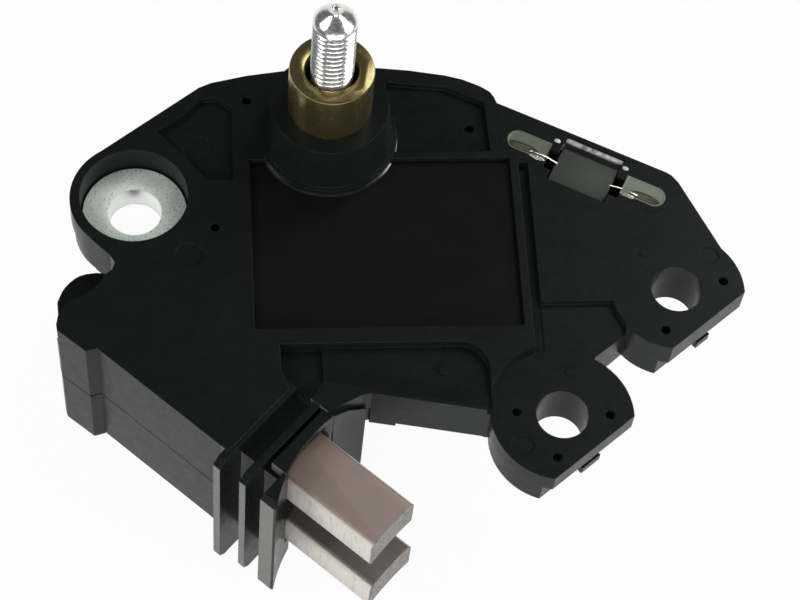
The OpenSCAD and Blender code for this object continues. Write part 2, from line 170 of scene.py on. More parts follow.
class NodeBoard(Wiring):
    """A material's nodes, with short calls for those that the finishes share."""

    def __init__(self, name: str) -> None:
        """Start a material with a principled shader on Object coordinates.

        Args:
            name: Name of the material.
        """
        self.material = bpy.data.materials.new(name)
        self.material.use_nodes = True
        super().__init__(self.material.node_tree)
        self.shader = self.add("BsdfPrincipled", {})
        self.add("OutputMaterial", {"Surface": self.shader.outputs["BSDF"]})
        coordinates = self.add("TexCoord", {})
        self.place = coordinates.outputs["Object"]
        self.facing = coordinates.outputs["Normal"]

    def set(self, **values: float) -> None:
        """Set constants straight on the shader's sockets.

        Args:
            **values: Socket names in lower case with underscores, and their values.
        """
        words = {"ior": "IOR", "specular": "Specular IOR Level"}
        for key, value in values.items():
            self.shader.inputs[words.get(key, key.replace("_", " ").title())].default_value = value

    def mapped(self, scale: Point = (1.0, 1.0, 1.0), turn: float = 0.0,
               centre: Point = (0.0, 0.0, 0.0)) -> Socket:
        """Object coordinates moved to a centre, turned about Z and stretched.

        Args:
            scale: Stretch along each axis.
            turn: Turn about Z, in radians.
            centre: Point that becomes the origin, in metres.

        Returns:
            The mapped coordinates.
        """
        moved = self.add("VectorMath", {0: self.place, 1: centre}, operation="SUBTRACT").outputs["Vector"]
        node = self.add("Mapping", {"Scale": scale, "Rotation": (0.0, 0.0, turn), "Vector": moved})
        return node.outputs["Vector"]

    def noise(self, grain: Grain, vector: Socket | None = None) -> Socket:
        """Noise of a given grain.

        Args:
            grain: The grain.
            vector: Coordinates, or None for the object's own.

        Returns:
            The noise's factor.
        """
        inputs = {"Scale": 1.0 / grain.size, "Detail": grain.detail, "Distortion": grain.pull,
                  "Vector": vector or self.place}
        return self.add("TexNoise", inputs).outputs["Fac"]

    def patches(self, grain: Grain, vector: Socket | None = None) -> Socket:
        """Share of a second colour that lies in patches of a given grain."""
        return self.span(self.noise(grain, vector), 0.0, grain.share, grain.start, grain.full)

    def cells(self, grain: float) -> Socket:
        """Distance in a cell pattern of a given size in metres."""
        return self.add("TexVoronoi", {"Scale": 1.0 / grain, "Vector": self.place}).outputs["Distance"]

    def span(self, value: Socket, low: float, high: float, from_low: float = 0.3,
             from_high: float = 0.7) -> Socket:
        """Stretch a factor into a range, clamped at both ends.

        Args:
            value: Factor to stretch.
            low: Result at from_low.
            high: Result at from_high.
            from_low: Lower end of the factor.
            from_high: Upper end of the factor.

        Returns:
            The stretched factor.
        """
        inputs = {"From Min": from_low, "From Max": from_high, "To Min": low, "To Max": high, "Value": value}
        return self.add("MapRange", inputs).outputs["Result"]

    def mix(self, factor: Socket, first: Colour | Socket, second: Colour | Socket) -> Socket:
        """Mix two colours by a factor.

        Args:
            factor: Share of the second colour.
            first: Colour or socket.
            second: Colour or socket.

        Returns:
            The mixed colour.
        """
        node = self.add("Mix", {"Factor": factor}, data_type="RGBA")
        for side, value in (("A", first), ("B", second)):
            socket = next(s for s in node.inputs if s.name == side and s.type == "RGBA")
            if isinstance(value, tuple):
                socket.default_value = (*value, 1.0)
            else:
                self.link(value, socket)
        return next(s for s in node.outputs if s.type == "RGBA")

    def dot(self, vector: Socket, axis: Point) -> Socket:
        """Share of a vector that lies along an axis of length one."""
        return self.add("VectorMath", {0: vector, 1: axis}, operation="DOT_PRODUCT").outputs["Value"]

    def along(self, axis: Point) -> Socket:
        """Distance along an axis from the brush datum, in metres."""
        return self.dot(self.mapped(centre=BRUSH_DATUM), axis)

    def rings(self, centre: Point, pitch: float) -> Socket:
        """Turning marks about an upright axis through a centre.

        Args:
            centre: Point on the axis, in metres.
            pitch: Distance between the marks, in metres.

        Returns:
            A factor that rises and falls with the radius.
        """
        flattened, waves_per_scale, unevenness = 0.35, 0.314, 0.6
        inputs = {"Scale": waves_per_scale / pitch, "Distortion": unevenness,
                  "Vector": self.mapped((1.0, 1.0, flattened), centre=centre)}
        return self.add("TexWave", inputs, wave_type="RINGS", rings_direction="SPHERICAL").outputs["Fac"]

    def soft_edges(self, radius: float) -> None:
        """Let light round the sharp edges by a radius in metres, before any relief is added."""
        node = self.add("Bevel", {"Radius": radius}, samples=4)
        self.link(node.outputs["Normal"], self.shader.inputs["Normal"])

    def bump(self, height: Socket, depth: float) -> None:
        """Add relief to the surface, over the relief already there.

        Args:
            height: Height, 0 to 1.
            depth: Depth of the relief, in metres.
        """
        normal = self.shader.inputs["Normal"]
        inputs = {"Distance": depth, "Strength": 1.0, "Height": height}
        if normal.is_linked:
            inputs["Normal"] = normal.links[0].from_socket
        self.link(self.add("Bump", inputs).outputs["Normal"], normal)

    def colour(self, socket: Socket) -> None:
        """Drive the base colour."""
        self.link(socket, self.shader.inputs["Base Color"])

    def roughness(self, socket: Socket) -> None:
        """Drive the roughness."""
        self.link(socket, self.shader.inputs["Roughness"])


@dataclass(frozen=True)
class Moulding:
    """Glass-filled black moulding: fine matt grain, faint flow marks and a little dust.

    The pale colour here is a painted highlight, for the light that falls on the left edges of the fins and
    the nose, which stand out past the box. The three pairs say where it starts and where it is full: by the
    face's direction, by the distance out along the brushes, and by the distance across them.
    """

    name: str
    base: Colour
    pale: Colour
    skin: Grain = Grain(0.16 * MM, 2.0)
    painted_highlight: Colour | None = None
    gloss: float = 0.14
    index: float = 1.5
    rough: Pair = (0.24, 0.34)
    relief: float = 0.003 * MM
    edge: float = 0.16 * MM
    flow: Grain = Grain(5.0 * MM, 4.0, pull=0.8)
    flow_stretch: Point = (1.0, 1.6, 1.0)
    flow_turn: float = 0.4
    dust: Grain = Grain(0.45 * MM, 2.0, 0.77, 0.82, 0.5)
    dust_times: float = 4.0
    dust_more: float = 0.01
    sheen: Grain = Grain(1.3 * MM, 5.0)
    dents: Grain = Grain(2.6 * MM, 1.0)
    dent_depth: float = 0.006 * MM
    highlight_facing: Pair = (-0.97, -0.9)
    highlight_out: Pair = (-3.2 * MM, -2.8 * MM)
    highlight_across: Pair = (8.0 * MM, 9.0 * MM)

    def build(self) -> bpy.types.Material:
        """Make the material."""
        board = NodeBoard(self.name)
        board.set(specular=self.gloss, ior=self.index)
        board.soft_edges(self.edge)
        flow = board.patches(self.flow, board.mapped(self.flow_stretch, self.flow_turn))
        tone = board.mix(flow, self.base, self.pale)
        tone = board.mix(board.patches(self.dust), tone, times(self.pale, self.dust_times, self.dust_more))
        # Painted highlight: a pale colour on the faces that look left, where light falls on them.
        if self.painted_highlight is not None:
            tone = board.mix(self.painted_highlight_share(board), tone, self.painted_highlight)
        board.colour(tone)
        board.roughness(board.span(board.noise(self.sheen), *self.rough))
        board.bump(board.noise(self.skin), self.relief)
        board.bump(board.noise(self.dents), self.dent_depth)
        return board.material

    def painted_highlight_share(self, board: NodeBoard) -> Socket:
        """Share of the painted highlight.

        Args:
            board: The material's board.

        Returns:
            1 on the faces that get the painted highlight and 0 elsewhere.
        """
        left = board.span(board.dot(board.facing, BRUSH_ACROSS), 1.0, 0.0, *self.highlight_facing)
        out = board.span(board.along(BRUSH_OUT), 0.0, 1.0, *self.highlight_out)
        across = board.span(board.along(BRUSH_ACROSS), 1.0, 0.0, *self.highlight_across)
        return board.maths("MULTIPLY", board.maths("MULTIPLY", left, out), across)


@dataclass(frozen=True)
class Plated:
    """Bright plated or bare metal, with a mottled skin and fine scratches or turning marks."""

    name: str
    base: Colour
    dull: Colour
    rough: Pair = (0.22, 0.38)
    mottle: float = 0.9 * MM
    relief: float = 0.008 * MM
    metal: float = 1.0
    ring_centre: Point | None = None
    ring_pitch: float = 0.12 * MM
    ring_relief: float = 0.006 * MM
    speck: Colour | None = None
    specks: Grain = Grain(0.28 * MM, 3.0, 0.59, 0.67, 0.8)

    def build(self) -> bpy.types.Material:
        """Make the material."""
        board = NodeBoard(self.name)
        board.set(metallic=self.metal)
        skin, sheen, scratches = (Grain(self.mottle, 5.0, pull=0.6), Grain(self.mottle * 0.4, 4.0),
                                  Grain(self.mottle * 0.5, 3.0))
        tone = board.mix(board.patches(skin), self.base, self.dull)
        if self.speck is not None:
            tone = board.mix(board.patches(self.specks), tone, self.speck)
        board.colour(tone)
        board.roughness(board.span(board.noise(sheen), *self.rough))
        board.bump(board.noise(scratches), self.relief)
        if self.ring_centre is not None:
            board.bump(board.rings(self.ring_centre, self.ring_pitch), self.ring_relief)
        return board.material


@dataclass(frozen=True)
class Graphite:
    """Pressed copper graphite: brown ground top, silvery sides with darker rub streaks, whose silvery colour
    is a painted reflection of the floor, and a dull mottled end where it wears.

    The sides start at half its width, and the worn end at its reach from the brush datum.
    """

    name: str
    base: Colour
    copper: Colour
    reach: float = 16.2 * MM
    half: float = 3.6 * MM
    # Painted reflection: the pale side colour stands in for the light that the sides reflect.
    side: Colour = (0.6, 0.57, 0.52)
    worn: Colour = (0.24, 0.228, 0.208)
    metal: float = 0.35
    gloss: float = 0.5
    rough: Pair = (0.36, 0.52)
    relief: float = 0.006 * MM
    side_start: Pair = (0.42 * MM, 0.2 * MM)
    end_start: Pair = (-0.02 * MM, 0.04 * MM)
    cloud: Grain = Grain(4.0 * MM, 3.0)
    pores: Grain = Grain(0.2 * MM, 3.0, 0.64, 0.74, 0.35)
    pore_shade: float = 0.5
    rubs: Grain = Grain(1.4 * MM, 4.0, 0.52, 0.72, 0.7)
    rub_stretch: Point = (9.0, 9.0, 0.5)
    rub_shade: float = 0.55
    flecks: Grain = Grain(0.24 * MM, 4.0, 0.42, 0.62)
    fleck_shade: float = 0.3
    speck_size: float = 0.34 * MM
    speck_reach: float = 0.14
    speck_share: float = 0.5
    speck_shade: float = 1.5
    strokes: Grain = Grain(1.1 * MM, 4.0)
    stroke_stretch: Point = (1.0, 14.0, 14.0)
    skin: Grain = Grain(0.16 * MM, 2.0)

    def build(self) -> bpy.types.Material:
        """Make the material."""
        board = NodeBoard(self.name)
        board.set(metallic=self.metal, specular=self.gloss)
        tone = board.mix(board.patches(self.cloud), self.base, self.copper)
        tone = board.mix(board.patches(self.pores), tone, times(self.base, self.pore_shade))
        rubs = board.patches(self.rubs, board.mapped(self.rub_stretch, BRUSH_TURN))
        # The sides' pale colour is a painted reflection; the darker rub streaks over it are real.
        sheen = board.mix(rubs, self.side, times(self.side, self.rub_shade))
        off = board.maths("ABSOLUTE", board.along(BRUSH_ACROSS))
        edge = tuple(self.half - back for back in self.side_start)
        tone = board.mix(board.span(off, 0.0, 1.0, *edge), tone, sheen)
        worn = board.mix(board.patches(self.flecks), self.worn, times(self.worn, self.fleck_shade))
        specks = board.span(board.cells(self.speck_size), self.speck_share, 0.0, 0.0, self.speck_reach)
        tone = board.mix(specks, tone, times(self.copper, self.speck_shade))
        beyond = board.maths("SUBTRACT", board.along(BRUSH_OUT), self.reach)
        board.colour(board.mix(board.span(beyond, 0.0, 1.0, *self.end_start), tone, worn))
        strokes = board.noise(self.strokes, board.mapped(self.stroke_stretch, BRUSH_TURN))
        board.roughness(board.span(strokes, *self.rough))
        board.bump(strokes, self.relief)
        board.bump(board.noise(self.skin), self.relief)
        return board.material


@dataclass(frozen=True)
class Gloss:
    """Smooth filler, cured bead or moulded case: low relief and an even sheen."""

    name: str
    base: Colour
    pale: Colour
    rough: Pair = (0.18, 0.3)
    gloss: float = 0.5
    wave: float = 3.5 * MM
    relief: float = 0.02 * MM
    coat: float = 0.0
    coat_rough: float = 0.15
    skin: Grain = Grain(0.2 * MM, 2.0)
    skin_relief: float = 0.0015 * MM

    def build(self) -> bpy.types.Material:
        """Make the material."""
        board = NodeBoard(self.name)
        board.set(specular=self.gloss, coat_weight=self.coat, coat_roughness=self.coat_rough)
        cloud, sheen, waves = Grain(self.wave * 1.7, 3.0), Grain(self.wave * 0.5, 4.0), Grain(self.wave, 1.0)
        board.colour(board.mix(board.patches(cloud), self.base, self.pale))
        board.roughness(board.span(board.noise(sheen), *self.rough))
        board.bump(board.noise(waves), self.relief)
        board.bump(board.noise(self.skin), self.skin_relief)
        return board.material


# Workbench


class Bench:
    """Drives Blender's own modelling operators on one piece at a time. Sizes are in millimetres."""

    @staticmethod
    def clear() -> None:
        """Deselect every object."""
        bpy.ops.object.select_all(action="DESELECT")

    @staticmethod
    def pick(piece: Piece) -> None:
        """Select one object alone and make it active.

        Args:
            piece: The object.
        """
        Bench.clear()
        piece.select_set(True)
        bpy.context.view_layer.objects.active = piece

    @staticmethod
    @contextmanager
    def editing(piece: Piece, action: str = "DESELECT") -> Iterator[None]:
        """Hold a piece in edit mode.

        Args:
            piece: The mesh object to edit.
            action: SELECT or DESELECT, done to all of it at the start.
        """
        Bench.pick(piece)
        bpy.ops.object.mode_set(mode="EDIT")
        bpy.ops.mesh.select_all(action=action)
        yield
        bpy.ops.object.mode_set(mode="OBJECT")

    @staticmethod
    def choose(piece: Piece, kind: str,
               test: Callable[[bmesh.types.BMFace | bmesh.types.BMEdge], bool]) -> None:
        """Select faces or edges in edit mode by a test.

        Args:
            piece: The piece in edit mode.
            kind: FACE or EDGE.
            test: Takes a face or an edge and says whether to select it.
        """
        bpy.ops.mesh.select_mode(type=kind)
        bpy.ops.mesh.select_all(action="DESELECT")
        mesh = bmesh.from_edit_mesh(piece.data)
        for part in mesh.faces if kind == "FACE" else mesh.edges:
            if test(part):
                part.select_set(True)
        bmesh.update_edit_mesh(piece.data)

    @staticmethod
    def top(piece: Piece) -> None:
        """Select the faces that look up, in edit mode."""
        Bench.choose(piece, "FACE", lambda face: face.normal.z > FACES_UP)

    @staticmethod
    def draw_out(level: float, radius: float, rings: Sequence[Pair]) -> None:
        """Draw the selected round face up the Z axis through a row of rings.

        Args:
            level: Height of the face at the start.
            radius: Its radius at the start.
            rings: Height and radius of each ring, in order.
        """
        for height, wide in rings:
            rise = in_metres(0.0, 0.0, height - level)
            bpy.ops.mesh.extrude_region_move(TRANSFORM_OT_translate={"value": rise})
            grow = wide / radius
            bpy.ops.transform.resize(value=(grow, grow, 1.0), center_override=in_metres(0.0, 0.0, height))
            level, radius = height, wide

    @staticmethod
    def face_out() -> None:
        """Turn every face of the piece in edit mode outwards."""
        bpy.ops.mesh.select_all(action="SELECT")
        bpy.ops.mesh.normals_make_consistent(inside=False)

    @staticmethod
    def named(name: str) -> Piece:
        """Name the active object and its mesh.

        Args:
            name: The new name.

        Returns:
            The object.
        """
        piece = bpy.context.active_object
        piece.name = name
        piece.data.name = name
        return piece

    @staticmethod
    def settle(piece: Piece) -> None:
        """Move the piece's place, turn and size into its mesh."""
        Bench.pick(piece)
        bpy.ops.object.transform_apply(location=True, rotation=True, scale=True)

    @staticmethod
    def cylinder(name: str, radius: float, low: float, high: float, sides: int = 96) -> Piece:
        """Turn a cylinder about the Z axis.

        Args:
            name: Name of the piece.
            radius: Its radius.
            low: Height of its lower face.
            high: Height of its upper face.
            sides: Steps round it.

        Returns:
            The cylinder.
        """
        Bench.clear()
        bpy.ops.mesh.primitive_cylinder_add(vertices=sides, radius=radius * MM, depth=(high - low) * MM,
                                            location=in_metres(0.0, 0.0, (low + high) / 2))
        piece = Bench.named(name)
        Bench.settle(piece)
        return piece

    @staticmethod
    def block(name: str, middle: Point, size: Point) -> Piece:
        """Make a block.

        Args:
            name: Name of the piece.
            middle: Its middle.
            size: Its size along each axis.

        Returns:
            The block.
        """
        Bench.clear()
        bpy.ops.mesh.primitive_cube_add(size=1.0, location=in_metres(*middle))
        piece = Bench.named(name)
        piece.scale = in_metres(*size)
        Bench.settle(piece)
        return piece

    @staticmethod
    def bore(piece: Piece, radius: float) -> None:
        """Open a bore through a piece along the Z axis.

        Args:
            piece: The piece.
            radius: Radius of the bore.
        """
        drill = Bench.cylinder("drill", radius, -DRILL_REACH, DRILL_REACH)
        Bench.modifier(piece, "BOOLEAN", operation="DIFFERENCE", solver="EXACT", object=drill)
        bpy.data.objects.remove(drill)

    @staticmethod
    def wind(piece: Piece, pitch: float, turns: int, steps: int) -> None:
        """Sweep a profile up a helix about the Z axis.

        Args:
            piece: The profile.
            pitch: Rise in one turn.
            turns: Number of turns.
            steps: Steps in a turn.
        """
        Bench.modifier(piece, "SCREW", angle=2 * math.pi, screw_offset=pitch * MM, iterations=turns,
                       steps=steps, render_steps=steps, axis="Z", use_merge_vertices=False,
                       use_normal_calculate=True)

    @staticmethod
    def trim(piece: Piece, low: float, high: float) -> None:
        """Cut a piece level at both ends, close the cuts and turn its faces outwards.

        Args:
            piece: The piece.
            low: Height of the lower cut.
            high: Height of the upper cut.
        """
        with Bench.editing(piece):
            for level, upper in ((low, False), (high, True)):
                bpy.ops.mesh.select_all(action="SELECT")
                bpy.ops.mesh.bisect(plane_co=in_metres(0.0, 0.0, level), plane_no=(0, 0, 1), use_fill=True,
                                    clear_outer=upper, clear_inner=not upper)
            Bench.face_out()

    @staticmethod
    def join(piece: Piece, others: Sequence[Piece]) -> None:
        """Join other pieces into one piece, which stays active.

        Args:
            piece: The piece that takes them in.
            others: The pieces that go into it.
        """
        Bench.pick(piece)
        for other in others:
            other.select_set(True)
        bpy.ops.object.join()

    @staticmethod
    def modifier(piece: Piece, kind: str, **values: object) -> None:
        """Add one modifier, set it and apply it.

        Args:
            piece: The piece that gets it.
            kind: Blender's name of the modifier's kind.
            **values: The modifier's settings.
        """
        Bench.pick(piece)
        mod = piece.modifiers.new(kind.lower(), kind)
        for key, value in values.items():
            setattr(mod, key, value)
        bpy.ops.object.modifier_apply(modifier=mod.name)

    @staticmethod
    def smooth(piece: Piece, degrees: float = 32.0) -> None:
        """Shade the piece smooth up to an angle."""
        Bench.pick(piece)
        bpy.ops.object.shade_smooth_by_angle(angle=math.radians(degrees))

    @staticmethod
    def round_edges(piece: Piece, width: float, segments: int = 2, degrees: float = 35.0) -> None:
        """Round every sharp edge of a piece.

        Args:
            piece: The piece.
            width: Width of the rounding.
            segments: Steps across it.
            degrees: Edges flatter than this stay.
        """
        Bench.modifier(piece, "BEVEL", width=width * MM, segments=segments, limit_method="ANGLE",
                       angle_limit=math.radians(degrees), harden_normals=False, use_clamp_overlap=True,
                       miter_outer="MITER_ARC")

    @staticmethod
    def traced(node: str, name: str) -> Piece:
        """Copy a frame node's mesh into a new piece, merged and with its flat faces joined.

        Args:
            node: Name of the frame node.
            name: Name of the new piece.

        Returns:
            The new piece, at the origin.
        """
        piece = bpy.data.objects.new(name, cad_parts[node].data.copy())
        piece.data.name = name
        bpy.context.scene.collection.objects.link(piece)
        piece.data.materials.clear()
        with Bench.editing(piece, "SELECT"):
            bpy.ops.mesh.remove_doubles(threshold=0.002 * MM)
            bpy.ops.mesh.select_all(action="SELECT")
            bpy.ops.mesh.dissolve_limited(angle_limit=math.radians(0.6))
            bpy.ops.mesh.delete_loose()
        return piece


def finish(piece: Piece, material: bpy.types.Material, body: Body, slot: str, *nodes: str) -> None:
    """Give a new piece its material and body, and hide the frame nodes that it stands for.

    Args:
        piece: The finished piece.
        material: Its material.
        body: The body that it rides on.
        slot: The record's material slot; not used.
        *nodes: Frame nodes that it replaces.
    """
    piece.data.materials.clear()
    piece.data.materials.append(material)
    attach(piece, body.value)
    if nodes:
        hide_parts(*nodes)
    LOG.info("%s: %d faces on %s", piece.name, len(piece.data.polygons), body.value)


def dress(material: bpy.types.Material, *nodes: str) -> None:
    """Give frame nodes a better material.

    Args:
        material: The material.
        *nodes: Names of the frame nodes.
    """
    for node in nodes:
        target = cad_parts[node]
        target.data.materials.clear()
        target.data.materials.append(material)
        LOG.info("%s keeps its solid, dressed in %s", node, material.name)


# Finishes

DARK: tuple[Colour, Colour] = ((0.0062, 0.0078, 0.0075), (0.0075, 0.0093, 0.009))
FILL: tuple[Colour, Colour] = ((0.004, 0.0043, 0.0042), (0.005, 0.0053, 0.0051))

# The pale colour given here is a painted highlight on the left-facing faces of the fins and the nose.
BLACK = Moulding("black_moulding", *DARK, painted_highlight=(0.12, 0.126, 0.115))
LIP_BLACK = Moulding("lip_moulding", *DARK)
CAP_BLACK = Moulding("cap_moulding", (0.008, 0.008, 0.009), (0.013, 0.013, 0.014), Grain(0.22 * MM, 2.0))
EPOXY = Moulding("chip_epoxy", (0.02, 0.02, 0.022), (0.028, 0.028, 0.03), Grain(0.1 * MM, 2.0))
DIODE_EPOXY = Moulding("diode_epoxy", (0.04, 0.037, 0.033), (0.05, 0.047, 0.042), Grain(0.12 * MM, 2.0))

FILLER = Gloss("dark_filler", *FILL, (0.3, 0.42), 0.1, 6.0 * MM, 0.03 * MM)
RIM = Gloss("filler_rim", *FILL, (0.06, 0.14), 0.8, 1.5 * MM, 0.02 * MM, 0.6)
GLUE = Gloss("black_glue", (0.003, 0.003, 0.003), (0.004, 0.004, 0.004), (0.06, 0.12), 0.6, 1.2 * MM,
             0.02 * MM, 0.5)
# The bead's pale patches are painted highlights, streaks of light on its glossy skin; the dark grey is its
# own colour.
BEAD = Gloss("cured_bead", (0.14, 0.15, 0.145), (0.52, 0.53, 0.52), (0.08, 0.16), 0.6, 0.5 * MM,
             0.07 * MM, 0.6)
# Painted glint: the drops' light grey colour stands in for the glints of light on them.
GLINT_DROP = Gloss("painted_glint_drop", (0.4, 0.41, 0.42), (0.5, 0.51, 0.52), (0.05, 0.1), 0.8, 0.5 * MM, 0.01 * MM, 0.8)
CASE = Gloss("capacitor_case", srgb(55, 60, 53), srgb(48, 53, 46), (0.45, 0.6), 0.35, 2.0 * MM, 0.012 * MM)
CERAMIC = Gloss("white_ceramic", (0.78, 0.76, 0.7), (0.84, 0.82, 0.77), (0.35, 0.5))

BORE_ZINC = Plated("bore_zinc", (0.97, 0.99, 0.97), (0.9, 0.93, 0.9), (0.3, 0.4), 0.7 * MM, 0.002 * MM)
BUSH_ZINC = Plated("bush_zinc", (0.9, 1.0, 0.92), (0.8, 0.9, 0.82), (0.35, 0.5), 0.7 * MM, 0.008 * MM, 0.05,
                   in_metres(0.0, 0.0, 3.3), ring_relief=0.0015 * MM, speck=(0.25, 0.28, 0.25))
STUD_ZINC = Plated("stud_zinc", (0.90, 0.91, 0.89), (0.76, 0.77, 0.75), (0.16, 0.3), 0.8 * MM, 0.006 * MM)
BRASS = Plated("sleeve_brass", (0.33, 0.275, 0.125), (0.28, 0.23, 0.1), (0.18, 0.28), 1.6 * MM, 0.002 * MM,
               0.94, in_metres(*STUD_AT, 20.5), 0.16 * MM, 0.0008 * MM)
# Shaded and lit copies of one tinned strip: this copy is darker for painted shade, the next one lighter for
# painted light.
TIN = Plated("tinned_strip", srgb(106, 112, 99), srgb(90, 95, 82), (0.38, 0.55), 1.2 * MM, 0.012 * MM, 0.35)
TIN_LIT = Plated("tinned_strip_lit", srgb(122, 131, 118), srgb(106, 113, 98), (0.38, 0.55), 1.2 * MM,
                  0.012 * MM, 0.35)
LEAD = Plated("tinned_lead", (0.93, 0.92, 0.86), (0.8, 0.79, 0.7), (0.14, 0.22), 0.8 * MM, 0.0003 * MM)
WELD = Plated("weld_deposit", (0.75, 0.76, 0.68), (0.1, 0.11, 0.07), (0.2, 0.4), 0.3 * MM, 0.03 * MM, 0.6)
PAD = Plated("flattened_end", srgb(92, 95, 72), srgb(78, 81, 60), (0.3, 0.5), 0.7 * MM, 0.01 * MM, 0.35)
SCORCH = Plated("scorched_edge", (0.018, 0.019, 0.007), (0.04, 0.04, 0.018), (0.4, 0.6), 0.5 * MM,
                0.01 * MM, 0.2)
CONTACT = Plated("contact_strip", (0.6, 0.5, 0.3), (0.48, 0.4, 0.24), (0.28, 0.42))
SPRING = Plated("spring_wire", (0.6, 0.61, 0.62), (0.46, 0.47, 0.48), (0.2, 0.32), 0.4 * MM, 0.004 * MM)
COPPER = Plated("shunt_copper", (0.72, 0.4, 0.26), (0.52, 0.28, 0.18), (0.3, 0.45), 0.3 * MM, 0.02 * MM)
ALUMINIUM = Plated("sink_aluminium", (0.78, 0.79, 0.8), (0.68, 0.69, 0.7), (0.3, 0.45), 2.0 * MM, 0.008 * MM)

CARBON = Graphite("copper_graphite", (0.22, 0.175, 0.148), (0.265, 0.198, 0.162))
# Painted shade: the lower brush's top is darker for the shadow that the upper brush casts on it.
CARBON_SHADED = Graphite("shaded_graphite", (0.105, 0.09, 0.08), (0.13, 0.107, 0.092), 16.7 * MM)


# Pieces


@dataclass
class BrushFrame:
    """The brush box's own frame: u runs out of the box, v across it, both in millimetres."""

    datum: Pair = BRUSH_AT
    turn: float = -BRUSH_TURN

    def point(self, u: float, v: float, z: float) -> Vector:
        """A point of the row frame, in metres, from u, v and z in millimetres."""
        c, s = math.cos(self.turn), math.sin(self.turn)
        return Vector((self.datum[0] + u * c - v * s, self.datum[1] + u * s + v * c, z)) * MM

    def local(self, place: Vector) -> Vector:
        """Find u, v and z in millimetres of a point of the row frame.

        Args:
            place: The point, in metres.

        Returns:
            u, v and z.
        """
        c, s = math.cos(self.turn), math.sin(self.turn)
        x, y = place.x / MM - self.datum[0], place.y / MM - self.datum[1]
        return Vector((x * c + y * s, -x * s + y * c, place.z / MM))


BRUSH_FRAME = BrushFrame()


@dataclass
class Housing:
    """The moulded body, which keeps its solid."""

    def build(self) -> None:
        """Dress the solid."""
        dress(BLACK.build(), "housing")


@dataclass
class MountBush:
    """The flanged steel bush in the left ear. Sizes are in millimetres."""

    bore: float = 3.12
    sleeve: float = 4.2
    flange: float = 6.1
    flange_low: float = 2.14
    top: float = 3.34
    edge: float = 0.14
    bore_margin: float = 0.05

    def build(self) -> None:
        """Draw the flange out of a disc, open the bore, break the edges and dress the bore by itself."""
        bush = Bench.cylinder("flanged_bush", self.sleeve, 0.0, self.flange_low)
        with Bench.editing(bush):
            Bench.top(bush)
            Bench.draw_out(self.flange_low, self.sleeve,
                           ((self.flange_low, self.flange), (self.top, self.flange)))
        Bench.bore(bush, self.bore)
        Bench.round_edges(bush, self.edge)
        Bench.smooth(bush)
        finish(bush, BUSH_ZINC.build(), Body.HOLDER, "bush_steel", "mounting_bush")
        bush.data.materials.append(BORE_ZINC.build())
        for face in bush.data.polygons:
            wide = max(bush.data.vertices[index].co.xy.length for index in face.vertices)
            if abs(face.normal.z) < 0.3 and wide < (self.bore + self.bore_margin) * MM:
                face.material_index = 1


